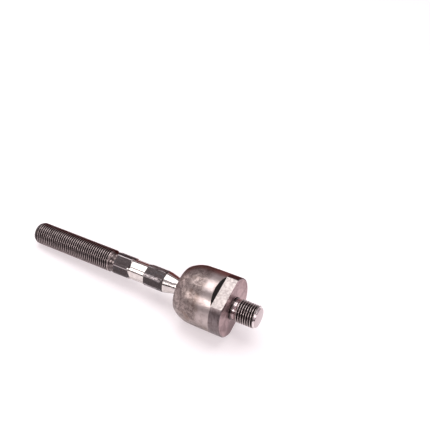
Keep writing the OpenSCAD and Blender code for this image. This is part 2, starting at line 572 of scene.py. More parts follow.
@dataclass(frozen=True)
class RolledThread:
    """Dark rolled thread, whose crests are rubbed bright, which darkens towards its roots and has patches of
    oil.
    """

    name: str
    crest_r: float
    root_r: float
    root: Colour = (0.022, 0.019, 0.018)
    flank: Colour = (0.085, 0.064, 0.066)
    crest: Colour = (0.47, 0.39, 0.385)
    oil: Colour = (0.07, 0.052, 0.042)
    gloss: float = 0.24
    root_share: float = 0.7
    crest_share: float = 0.28

    def make(self) -> bpy.types.Material:
        """Builds the material.

        Returns:
            The material.
        """
        p = Paint(self.name)
        r = p.plus(p.radius(p.y, p.z), p.sway(p.grain(1.5, 3), 0.25))
        depth = self.crest_r - self.root_r
        flank = p.ramp(r, self.root_r, self.root_r + self.root_share * depth)
        rubbed = p.ramp(r, self.crest_r - self.crest_share * depth, self.crest_r)
        colour = p.mix(rubbed, p.mix(flank, self.root, self.flank), self.crest)
        colour = p.mix(p.ease(p.grain(3.0, 4, 0.6, warp=0.5), 0.5, 0.72, 0.0, 0.55), colour, self.oil)
        gloss = p.blend(rubbed, self.gloss + 0.16, self.gloss)
        return p.coat(colour, 0.95, gloss, p.relief(p.grain(0.3, 3, 0.6), 0.006))


@dataclass(frozen=True)
class StudSkin:
    """Machined steel of the stud: bright on its neck and its tip's chamfer, dark on the register."""

    tip_x: float
    name: str = "stud_skin"
    tip: Colour = (0.5, 0.41, 0.42)
    light: Colour = (0.8, 0.73, 0.73)
    hazed: Colour = (0.56, 0.49, 0.49)
    dark: Colour = (0.06, 0.045, 0.045)
    root_x: tuple[float, float] = (2.3, 1.0)

    def make(self) -> bpy.types.Material:
        """Builds the material.

        Returns:
            The material.
        """
        p = Paint(self.name)
        marks = p.grain(0.22, 3, 0.6, p.stretched(1.0, 0.04))
        tone = p.both(marks, 0.3, p.grain(2.2, 4, 0.6))
        colour = p.mix(p.ease(tone, 0.3, 0.65), self.hazed, self.light)
        colour = p.mix(p.ramp(p.x, *self.root_x), colour, self.dark)
        colour = p.mix(p.ramp(p.x, self.tip_x - 0.4, self.tip_x - 0.1), colour, self.tip)
        return p.coat(colour, 1.0, p.blend(tone, 0.06, 0.13), p.relief(marks, 0.08))


@dataclass(frozen=True)
class BandedShank:
    """Six-sided shank: two black forged stretches and two ground bright ones.

    Each black stretch is (low end, high end) along X, and each side ends the first one on its own slant.
    Painted lines run along the creases, so many degrees from the corners: painted shade on the ground steel,
    and a painted highlight on the first black stretch. The second one has rubbed corners instead.
    """

    blacks: tuple[tuple[float, float], ...]
    corner_r: float
    corner_turn: float
    neck_x: float
    name: str = "banded_shank"
    black: Colour = (0.036, 0.025, 0.026)
    blued: Colour = (0.045, 0.043, 0.05)
    dusty: Colour = (0.13, 0.105, 0.105)
    # Colour of the rubbed corners on the second black stretch, and of the painted highlight lines on the first
    rubbed: Colour = (0.42, 0.37, 0.38)
    bare: Colour = (0.71, 0.66, 0.63)
    dull: Colour = (0.6, 0.55, 0.535)
    scratch: Colour = (0.45, 0.42, 0.41)
    brown: Colour = (0.07, 0.052, 0.053)
    tan: Colour = (0.2, 0.165, 0.16)
    # Colour of the painted shade lines along the creases of the ground steel
    crease_shade: Colour = (0.05, 0.032, 0.032)
    slant: float = 2.2
    crease: float = 11.0
    edge: float = 0.15

    def cover(self, p: Paint, facet: Socket) -> Socket:
        """Works out where the steel is black.

        Args:
            p: The material's nodes.
            facet: How far round its side a point lies, from 0 to 1.

        Returns:
            1 on the black stretches and 0 between them.
        """
        x = p.plus(p.x, p.sway(p.grain(1.6, 3, 0.6), 0.9))
        slanted = p.plus(x, p.times(p.minus(0.5, facet), self.slant * MM))
        mask: object = 0.0
        for number, (low, high) in enumerate(self.blacks):
            begin = p.ramp(x, low - self.edge, low + self.edge)
            stop = p.ramp(x if number else slanted, high + self.edge, high - self.edge)
            mask = p.plus(mask, p.times(begin, stop), clamp=True)
        return mask

    def line(self, p: Paint, off: Socket, wide: float, narrow: float, strength: float = 1.0) -> Socket:
        """Draws a line along a side, where off is within so many degrees of zero."""
        return p.ease(off, wide / SIDE_DEG, narrow / SIDE_DEG, 0.0, strength)

    def make(self) -> bpy.types.Material:
        """Builds the material.

        Returns:
            The material.
        """
        p = Paint(self.name)
        angle = p.maths("ARCTAN2", p.times(p.y, -1.0), p.z)
        facet = p.maths("FRACT", p.plus(p.over(angle, SIDE), SIDES - self.corner_turn / SIDE_DEG))
        mask = self.cover(p, facet)
        below = p.apart(facet, self.crease / SIDE_DEG)
        above = p.apart(facet, 1 - self.crease / SIDE_DEG)
        worn = p.sway(p.grain(1.1, 4, 0.65, p.stretched(0.35, 1.0)), 0.5)
        r = p.plus(p.radius(p.y, p.z), worn)
        corner = p.ramp(r, self.corner_r - 0.1, self.corner_r + 0.02, 0.0, 0.75)
        second_x = self.blacks[1][0]
        # Painted highlight lines along the creases on the first black stretch; rubbed corners on the second
        rub_and_highlight = p.blend(p.ramp(p.x, second_x - 2, second_x - 1), self.line(p, below, 3.0, 1.4), corner)
        black = p.mix(p.ease(p.grain(3.2, 4, 0.6, warp=0.6), 0.5, 0.68), self.black, self.blued)
        black = p.mix(p.ease(p.grain(0.8, 4, 0.65), 0.48, 0.72, 0.0, 0.6), black, self.dusty)
        black = p.mix(rub_and_highlight, black, self.rubbed)
        grind = p.grain(0.16, 3, 0.6, p.stretched(1.0, 0.03))
        bright = p.mix(p.ease(p.grain(2.6, 3, 0.6), 0.35, 0.7), self.dull, self.bare)
        bright = p.mix(p.ease(grind, 0.52, 0.75, 0.0, 0.45), bright, self.scratch)
        browned = p.mix(p.ease(p.grain(1.4, 4), 0.35, 0.65), self.brown, self.tan)
        bright = p.mix(p.ramp(p.x, self.neck_x, self.neck_x - 0.5), bright, browned)
        # Painted shade: dark lines along the creases of the ground steel
        shade_lines = p.maths("MAXIMUM", self.line(p, below, 4.0, 1.8, 0.95), self.line(p, above, 2.2, 0.6, 0.6))
        bright = p.mix(p.times(shade_lines, p.ease(p.grain(0.9, 3), 0.3, 0.5, 0.6, 1.0)), bright, self.crease_shade)
        gloss = p.blend(mask, p.blend(grind, 0.2, 0.34), p.blend(rub_and_highlight, 0.44, 0.3))
        metal = p.blend(mask, 1.0, p.blend(rub_and_highlight, 0.55, 1.0))
        bump = p.relief(p.blend(mask, p.times(grind, 0.15), p.grain(0.5, 4, 0.65)), 0.02)
        return p.coat(p.mix(mask, bright, black), metal, gloss, bump)


@dataclass(frozen=True)
class PlainSteel:
    """Machined metal with fine marks, for what lies inside or at an end."""

    name: str
    light: Colour
    dark: Colour
    gloss: float

    def make(self) -> bpy.types.Material:
        """Builds the material.

        Returns:
            The material.
        """
        p = Paint(self.name)
        marks = p.grain(0.2, 3, 0.6, p.stretched(1.0, 0.05))
        haze = p.grain(2.5, 4, 0.6)
        tone = p.ease(p.both(marks, 0.4, haze), 0.36, 0.64)
        gloss = p.plus(self.gloss, p.times(haze, 0.12))
        return p.coat(p.mix(tone, self.dark, self.light), 1.0, gloss, p.relief(marks, 0.004))


@dataclass(frozen=True)
class MouldedPlastic:
    """Satin acetal of the ball seats, with a faint flow pattern."""

    name: str = "moulded_seat"
    light: Colour = (0.83, 0.8, 0.7)
    dark: Colour = (0.72, 0.68, 0.57)

    def make(self) -> bpy.types.Material:
        """Builds the material.

        Returns:
            The material.
        """
        p = Paint(self.name)
        flow = p.grain(5.0, 3, 0.5, warp=1.5)
        colour = p.mix(flow, self.dark, self.light)
        bump = p.relief(p.grain(0.25, 2, 0.5), 0.004)
        gloss = p.blend(flow, 0.34, 0.46)
        return p.coat(colour, 0.0, gloss, bump, Subsurface_Weight=0.08, Subsurface_Scale=0.002)


@dataclass(frozen=True)
class AmberGrease:
    """Wet amber grease with streaks and small bubbles."""

    name: str = "amber_grease"
    light: Colour = (0.7, 0.53, 0.27)
    dark: Colour = (0.42, 0.27, 0.11)

    def make(self) -> bpy.types.Material:
        """Builds the material.

        Returns:
            The material.
        """
        p = Paint(self.name)
        streak = p.grain(1.6, 4, 0.6, warp=2.0)
        colour = p.mix(streak, self.dark, self.light)
        bump = p.relief(p.pits(0.6), 0.02, p.relief(streak, 0.05))
        gloss = p.blend(streak, 0.12, 0.28)
        return p.coat(colour, 0.0, gloss, bump, Subsurface_Weight=0.3, Subsurface_Scale=0.003)


@dataclass(frozen=True)
class StudioFloor:
    """Pale matt tabletop with a weak glow of its own."""

    name: str = "studio_floor"
    light: Colour = (0.62, 0.61, 0.615)
    cloud: float = 0.985
    glow: Colour = (1.0, 0.9, 0.93)
    glow_strength: float = 0.42

    def make(self) -> bpy.types.Material:
        """Builds the material.

        Returns:
            The material.
        """
        p = Paint(self.name)
        dark = tuple(self.cloud * c for c in self.light)
        colour = p.mix(p.grain(60.0, 2, 0.5), dark, self.light)
        glow = {"Emission_Color": (*self.glow, 1.0), "Emission_Strength": self.glow_strength}
        return p.coat(colour, 0.0, 0.7, p.relief(p.grain(0.8, 2), 0.01), **glow)


# ---------------------------------------------------------------- turned meshes


@dataclass(frozen=True)
class Stop:
    """A corner of a profile: its place, its radius, how far the corner is rounded and what follows it.

    Flat is the distance of a flat side from the axis, and half is half the angle that its columns take.
    """

    x: float
    r: float
    zone: int = 0
    soft: float = 0.0
    step: float = 0.0
    flat: float | None = None
    half: float | None = None


def bent(before: Stop, corner: Stop, after: Stop, turns: int = 4) -> list[Stop]:
    """Rounds one corner of a profile.

    Args:
        before: The stop before it.
        corner: The corner.
        after: The stop after it.
        turns: Number of pieces in the rounded corner.

    Returns:
        The stops that take the corner's place.
    """
    here = np.array([corner.x, corner.r])
    back = np.array([before.x, before.r]) - here
    on = np.array([after.x, after.r]) - here
    back_len, on_len = float(np.linalg.norm(back)), float(np.linalg.norm(on))
    reach = min(corner.soft, CORNER_SHARE * back_len, CORNER_SHARE * on_len)
    first = here + back / back_len * reach
    last = here + on / on_len * reach
    made: list[Stop] = []
    for k in range(turns + 1):
        t = k / turns
        x, r = (1 - t) ** 2 * first + 2 * t * (1 - t) * here + t * t * last
        zone = before.zone if t < 0.5 else corner.zone
        made.append(replace(corner, x=float(x), r=float(r), zone=zone, soft=0.0))
    return made


def rounded(stops: Sequence[Stop]) -> list[Stop]:
    """Rounds the corners of a profile and fills its long stretches.

    Args:
        stops: The corners in order. A corner's step is the longest spacing up to the next one.

    Returns:
        The profile's rings.
    """
    made = [stops[0]]
    for before, corner, after in zip(stops, stops[1:], stops[2:]):
        made += bent(before, corner, after) if corner.soft else [corner]
    made.append(stops[-1])
    filled: list[Stop] = []
    for s, t in zip(made, made[1:]):
        filled.append(s)
        count = math.ceil(math.hypot(t.x - s.x, t.r - s.r) / s.step) if s.step else 1
        for k in range(1, count):
            share = k / count
            flat = None if s.flat is None or t.flat is None else s.flat + (t.flat - s.flat) * share
            filled.append(replace(s, x=s.x + (t.x - s.x) * share, r=s.r + (t.r - s.r) * share, flat=flat))
    return [*filled, made[-1]]


def arc(centre: float, radius: float, begin: float, end: float, count: int, zone: int) -> list[Stop]:
    """Puts stops on a circle about a point of the axis, from one angle to another in degrees from +X."""
    angles = np.radians(np.linspace(begin, end, count))
    return [Stop(centre + radius * math.cos(a), max(0.0, radius * math.sin(a)), zone) for a in angles]


def spread(middles: Sequence[float], half: float, on: int, between: int) -> np.ndarray:
    """Spreads columns over the flat sides of a body and over the stretches between them.

    Args:
        middles: Angles of the sides' middles, in radians and evenly spaced.
        half: Half the angle that a side takes.
        on: Number of columns on a side.
        between: Number of columns between two sides.

    Returns:
        The columns' angles, with one on each edge of each side.
    """
    gap = 2 * math.pi / len(middles) - 2 * half
    angles: list[float] = []
    for middle in middles:
        angles += list(middle + np.linspace(-half, half, on + 1)[:-1])
        angles += list(middle + half + np.linspace(0, gap, between + 1)[:-1])
    return np.array(angles)


def off_middle(angles: np.ndarray, middle: float, pitch: float) -> np.ndarray:
    """Gives how far each angle lies from its own side's middle, where a side follows at each pitch."""
    return (angles - middle + pitch / 2) % pitch - pitch / 2


@dataclass
class Turning:
    """A body turned about the X axis, whose section may carry flat sides.

    Args:
        name: Name of the object.
        columns: Gives the angles of a ring's points, in radians.
        section: Gives their radii from the ring and the angles.
        zone_at: Gives a face's material index from its ring, the next ring and its column.
    """

    name: str
    columns: Callable[[Stop], np.ndarray]
    section: Callable[[Stop, np.ndarray], np.ndarray]
    zone_at: Callable[[Stop, Stop, int], int] = lambda ring, after, column: ring.zone

    def points(self, ring: Stop) -> list[Place]:
        """Places a ring's points.

        Args:
            ring: The ring. One without a radius is a pole.

        Returns:
            The points in metres.
        """
        if ring.r <= 0:
            return [(ring.x * MM, 0.0, 0.0)]
        angles = self.columns(ring)
        radii = self.section(ring, angles)
        return [(ring.x * MM, -r * math.sin(a) * MM, r * math.cos(a) * MM) for a, r in zip(angles, radii)]

    def build(self, rings: Sequence[Stop], materials: Sequence[bpy.types.Material]) -> bpy.types.Object:
        """Skins the rings.

        Args:
            rings: The profile from one pole to the other.
            materials: Materials in the order of the zones.

        Returns:
            The object, at the origin.
        """
        points: list[Place] = []
        rows: list[range] = []
        for ring in rings:
            row = self.points(ring)
            rows.append(range(len(points), len(points) + len(row)))
            points += row
        faces: list[tuple[int, ...]] = []
        zones: list[int] = []
        for ring, after, low, high in zip(rings, rings[1:], rows, rows[1:]):
            count = max(len(low), len(high))
            for k in range(count):
                k2 = (k + 1) % count
                if len(low) == 1:
                    faces.append((low[0], high[k2], high[k]))
                elif len(high) == 1:
                    faces.append((low[k], low[k2], high[0]))
                else:
                    faces.append((low[k], low[k2], high[k2], high[k]))
                zones.append(self.zone_at(ring, after, k))
        mesh = bpy.data.meshes.new(self.name)
        mesh.from_pydata(points, [], faces)
        mesh.polygons.foreach_set("material_index", zones)
        for material in materials:
            mesh.materials.append(material)
        return settle(self.name, mesh)


def settle(name: str, mesh: bpy.types.Mesh, crease: float = 30.0) -> bpy.types.Object:
    """Merges a mesh's doubles, turns its faces outwards, shades it and links it as an object.

    Args:
        name: Name of the object.
        mesh: The mesh.
        crease: Angle in degrees from which an edge is sharp.

    Returns:
        The object.
    """
    work = bmesh.new()
    work.from_mesh(mesh)
    bmesh.ops.remove_doubles(work, verts=work.verts, dist=MERGE * MM)
    bmesh.ops.dissolve_degenerate(work, edges=work.edges, dist=SLIVER * MM)
    bmesh.ops.recalc_face_normals(work, faces=work.faces)
    work.to_mesh(mesh)
    work.free()
    mesh.shade_smooth()
    mesh.set_sharp_from_angle(angle=math.radians(crease))
    return place_in_scene(name, mesh)


@dataclass(frozen=True)
class Hammering:
    """The uneven skin of a forging: at most that deep, over lumps of about that size in millimetres."""

    depth: float
    size: float
    coarse: float = 0.65
    finer: float = 2.7
    contrast: float = 1.6

    def sunk(self, x: float, angle: float, r: float) -> float:
        """Sinks a point of the surface.

        Args:
            x: Its place along the axis.
            angle: Its angle about the axis.
            r: Its radius.

        Returns:
            The new radius.
        """
        at = Vector((x, r * math.sin(angle), r * math.cos(angle))) / self.size
        lumps = self.coarse * noise.noise(at) + (1 - self.coarse) * noise.noise(at * self.finer)
        return r - self.depth * (0.5 + 0.5 * max(-1.0, min(1.0, self.contrast * lumps)))


# ---------------------------------------------------------------- geometry nodes


@dataclass
class ThreadCutter:
    """Cuts a right-hand metric thread into a turned body with Geometry Nodes.

    Sizes are in millimetres. The thread's depth fades out over the last stretch at both ends. Root and flank
    are the shares of half a pitch that the flat root and the flank take, depth_share is the depth for a pitch
    of 1, and turns_ahead keeps the phase above zero.
    """

    crest_r: float
    pitch: float
    begin: float
    end: float
    fade_begin: float
    fade_end: float
    root: float = 0.2
    flank: float = 0.66
    depth_share: float = 0.6134
    turns_ahead: float = 1000.0

    @property
    def depth(self) -> float:
        """Depth of the thread."""
        return self.depth_share * self.pitch

    def profile(self, w: Wiring, x: Socket, y: Socket, z: Socket, given: bpy.types.NodeOutputs) -> Socket:
        """Works out how far a point is sunk.

        Args:
            w: The tree's wiring.
            x: The point's place along the axis.
            y: Its place across the axis.
            z: Its height.
            given: The tree's inputs.

        Returns:
            The depth below the crests.
        """
        turn = w.over(w.maths("ARCTAN2", y, z), 2 * math.pi)
        phase = w.maths("FRACT", w.plus(w.plus(w.over(x, given["Pitch"]), turn), self.turns_ahead))
        off_root = w.apart(w.times(phase, 2.0), 1.0)
        groove = w.minus(1.0, w.over(w.minus(off_root, self.root), self.flank), clamp=True)
        begin = w.ease(w.over(w.minus(x, given["Begin"]), given["Fade Begin"]), 0.0, 1.0)
        end = w.ease(w.over(w.minus(given["End"], x), given["Fade End"]), 0.0, 1.0)
        return w.times(w.times(groove, given["Depth"]), w.times(begin, end))

    def tree(self) -> bpy.types.NodeTree:
        """Builds the tree once.

        Returns:
            A tree that lowers each point of the threaded stretch to the thread's profile.
        """
        found = bpy.data.node_groups.get("cut_thread")
        if found:
            return found
        tree = bpy.data.node_groups.new("cut_thread", "GeometryNodeTree")
        face = tree.interface
        face.new_socket(name="Body", in_out="INPUT", socket_type="NodeSocketGeometry")
        for name in self.sizes():
            face.new_socket(name=name, in_out="INPUT", socket_type="NodeSocketFloat")
        face.new_socket(name="Thread Material", in_out="INPUT", socket_type="NodeSocketMaterial")
        face.new_socket(name="Body", in_out="OUTPUT", socket_type="NodeSocketGeometry")
        w = Wiring(tree)
        given = w.node("NodeGroupInput").outputs
        x, y, z = w.split(w.node("GeometryNodeInputPosition").outputs[0])
        r = w.radius(y, z)
        level = w.maths("MINIMUM", r, w.minus(given["Crest Radius"], self.profile(w, x, y, z, given)))
        past_begin = w.maths("GREATER_THAN", x, given["Begin"])
        inside = w.times(past_begin, w.maths("LESS_THAN", x, given["End"]))
        share = w.over(level, w.maths("MAXIMUM", r, TINY))
        moved = w.node("GeometryNodeSetPosition")
        w.feed(moved.inputs["Geometry"], given["Body"])
        w.feed(moved.inputs["Selection"], inside)
        w.feed(moved.inputs["Position"], w.join(x, w.times(y, share), w.times(z, share)))
        whole = w.node("GeometryNodeRealizeInstances")
        w.feed(whole.inputs[0], moved.outputs[0])
        dressed = w.node("GeometryNodeSetMaterial")
        w.feed(dressed.inputs["Geometry"], whole.outputs[0])
        w.feed(dressed.inputs["Selection"], inside)
        w.feed(dressed.inputs["Material"], given["Thread Material"])
        w.feed(w.node("NodeGroupOutput").inputs[0], dressed.outputs[0])
        return tree

    def sizes(self) -> dict[str, float]:
        """Lists the tree's inputs for this thread.

        Returns:
            Each input's value in metres, by its name.
        """
        names = ("Crest Radius", "Pitch", "Depth", "Begin", "End", "Fade Begin", "Fade End")
        values = (self.crest_r, self.pitch, self.depth, self.begin, self.end, self.fade_begin, self.fade_end)
        return {name: value * MM for name, value in zip(names, values)}

    def cut(self, body: bpy.types.Object, material: bpy.types.Material) -> None:
        """Cuts the thread into a body and makes the result its plain mesh.

        Args:
            body: A turned body with closely spaced rings where the thread goes.
            material: Finish of the threaded stretch.
        """
        tree = self.tree()
        modifier = body.modifiers.new("cut_thread", "NODES")
        modifier.node_group = tree
        wanted = {**self.sizes(), "Thread Material": material}
        for item in tree.interface.items_tree:
            if item.in_out == "INPUT" and item.name in wanted:
                modifier[item.identifier] = wanted[item.name]
        graph = bpy.context.evaluated_depsgraph_get()
        cut_body = body.evaluated_get(graph)
        plain = bpy.data.meshes.new_from_object(cut_body, preserve_all_data_layers=True, depsgraph=graph)
        body.modifiers.clear()
        old, body.data = body.data, plain
        plain.name = body.name
        bpy.data.meshes.remove(old)


# ---------------------------------------------------------------- the rod


class RodZone(IntEnum):
    """Material order of the rod."""

    END = 0
    SHANK = 1
    BALL = 2


@dataclass
class TieRod:
    """The rod: thread, runout groove, six-sided shank, taper, neck and ball."""

    ball_x: float
    end_x: float
    thread_r: float = 7.0
    pitch: float = 1.5
    thread_gap: float = 0.2
    thread_over: float = 0.4
    thread_fade: float = 2.2
    rings_per_pitch: int = 10
    chamfer_len: float = 2.2
    chamfer_depth: float = 1.2
    runout_x: float = -84.5
    runout_ramp: float = 0.7
    groove_r: float = 6.3
    groove_ramp: float = 0.5
    shank_x: float = -81.5
    band_x: float = -69.5
    collar_x: float = -58.7
    band_ramp: float = 0.5
    taper_x: float = -46.0
    taper_len: float = 8.0
    taper_blend: float = 1.0
    taper_corner: float = 0.24
    taper_flat: float = 0.1
    corner_r: float = 6.95
    flat_half: float = 6.5
    band_depth: float = 0.4
    band_corner: float = 0.1
    corner_turn: float = 45.0
    black_gap: float = 1.1
    black_over: float = 0.9
    brown_over: float = 1.9
    neck_r: float = 5.05
    ball_r: float = 12.0
    ball_rings: int = 60
    facet_parts: int = 12
    corner_parts: int = 6
    least_corner: float = 1.0005
    skin: Hammering = Hammering(depth=0.05, size=3.0)
    end_steel: PlainSteel = PlainSteel("rod_end_steel", (0.4, 0.36, 0.35), (0.2, 0.17, 0.165), 0.38)
    ball_steel: PlainSteel = PlainSteel("ball_steel", (0.82, 0.81, 0.8), (0.7, 0.69, 0.68), 0.12)

    @property
    def first_middle(self) -> float:
        """Angle of the first side's middle, in radians."""
        return math.radians(self.corner_turn + SIDE_DEG / 2)

    def columns(self, ring: Stop) -> np.ndarray:
        """Spreads a ring's points.

        Args:
            ring: The ring.

        Returns:
            Their angles, with one on each edge of each side.
        """
        flat = self.flat_half if ring.flat is None else ring.flat
        corner = self.corner_r if ring.flat is None else max(ring.r, ring.flat * self.least_corner)
        half = math.acos(min(1.0, flat / corner))
        middles = [self.first_middle + side * SIDE for side in range(SIDES)]
        return spread(middles, half, self.facet_parts, self.corner_parts)

    def section(self, ring: Stop, angles: np.ndarray) -> np.ndarray:
        """Shapes a ring: round, or six-sided with rounded corners and as forged outside the ground band.

        Args:
            ring: The ring.
            angles: Angles of its points.

        Returns:
            Their radii.
        """
        radii = np.full(len(angles), ring.r)
        if ring.flat is None:
            return radii
        radii = np.minimum(radii, ring.flat / np.cos(off_middle(angles, self.first_middle, SIDE)))
        if self.band_x <= ring.x <= self.collar_x:
            return radii
        return np.array([self.skin.sunk(ring.x, a, r) for a, r in zip(angles, radii)])

    def rings(self) -> list[Stop]:
        """Draws the rod's profile.

        Returns:
            The rings from its threaded end to the ball's far pole.
        """
        end, shank, ball = int(RodZone.END), int(RodZone.SHANK), int(RodZone.BALL)
        fine = self.pitch / self.rings_per_pitch
        tip_r, round_r = self.thread_r - self.chamfer_depth, self.neck_r
        taper_end = self.taper_x + self.taper_len
        blend_x = taper_end - self.taper_blend
        high, high_flat = self.corner_r, self.flat_half
        low, low_flat = self.corner_r - self.band_depth - self.band_corner, self.flat_half - self.band_depth
        ramp = self.band_ramp / 2
        ball_start = math.degrees(math.asin(self.neck_r / self.ball_r))
        stops = [
            Stop(self.end_x, 0.0, end),
            Stop(self.end_x, tip_r, end, soft=0.3),
            Stop(self.end_x + self.chamfer_len, self.thread_r, end, step=fine),
            Stop(self.runout_x, self.thread_r, shank, soft=0.2),
            Stop(self.runout_x + self.runout_ramp, self.groove_r, shank, soft=0.5, step=0.4),
            Stop(self.shank_x - self.groove_ramp, self.groove_r, shank, soft=0.3),
            Stop(self.shank_x, high, shank, soft=0.25, step=0.5, flat=high_flat),
            Stop(self.band_x - ramp, high, shank, soft=0.2, flat=high_flat),
            Stop(self.band_x + ramp, low, shank, soft=0.2, step=0.5, flat=low_flat),
            Stop(self.collar_x - ramp, low, shank, soft=0.2, flat=low_flat),
            Stop(self.collar_x + ramp, high, shank, soft=0.2, step=0.5, flat=high_flat),
            Stop(self.taper_x, high, shank, soft=1.2, step=0.4, flat=high_flat),
            Stop(blend_x, round_r + self.taper_corner, shank, flat=round_r + self.taper_flat),
            Stop(taper_end, round_r, shank, soft=0.8, step=0.5),
            Stop(self.ball_x - self.ball_r * math.cos(math.radians(ball_start)), round_r, ball, soft=1.2),
            *arc(self.ball_x, self.ball_r, 180 - ARC_GAP - ball_start, 0, self.ball_rings, ball),
        ]
        rings = rounded(stops)
        thread_x = self.end_x + self.chamfer_len
        chamfer = [s for s in rings if s.x <= thread_x]
        rest = [s for s in rings if s.x > thread_x]
        slope = rounded([replace(chamfer[-2], step=fine), chamfer[-1]])
        return [*chamfer[:-2], *slope, *rest]

    def build(self) -> None:
        """Builds the rod, cuts its thread and puts it in the CAD rod's place."""
        first_black = (self.shank_x + self.black_gap, self.band_x)
        second_black = (self.collar_x, self.taper_x + self.black_over)
        shank = BandedShank(
            blacks=(first_black, second_black),
            corner_r=self.corner_r,
            corner_turn=self.corner_turn,
            neck_x=self.shank_x + self.brown_over,
        )
        cutter = ThreadCutter(
            crest_r=self.thread_r,
            pitch=self.pitch,
            begin=self.end_x + self.thread_gap,
            end=self.runout_x + self.thread_over,
            fade_begin=self.thread_gap,
            fade_end=self.thread_fade,
        )
        thread = RolledThread("rod_thread", self.thread_r, self.thread_r - cutter.depth)
        materials = [self.end_steel.make(), shank.make(), self.ball_steel.make()]
        body = Turning("tie_rod_forging", self.columns, self.section).build(self.rings(), materials)
        cutter.cut(body, thread.make())
        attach(body, "rod")
        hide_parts("tie_rod")
        report(body)


# ---------------------------------------------------------------- the housing


class HousingZone(IntEnum):
    """Material order of the housing."""

    STUD = 0
    FACE = 1
    BAND = 2
    FORGED = 3
    FLAT = 4
    SHOULDER = 5
    BORE = 6


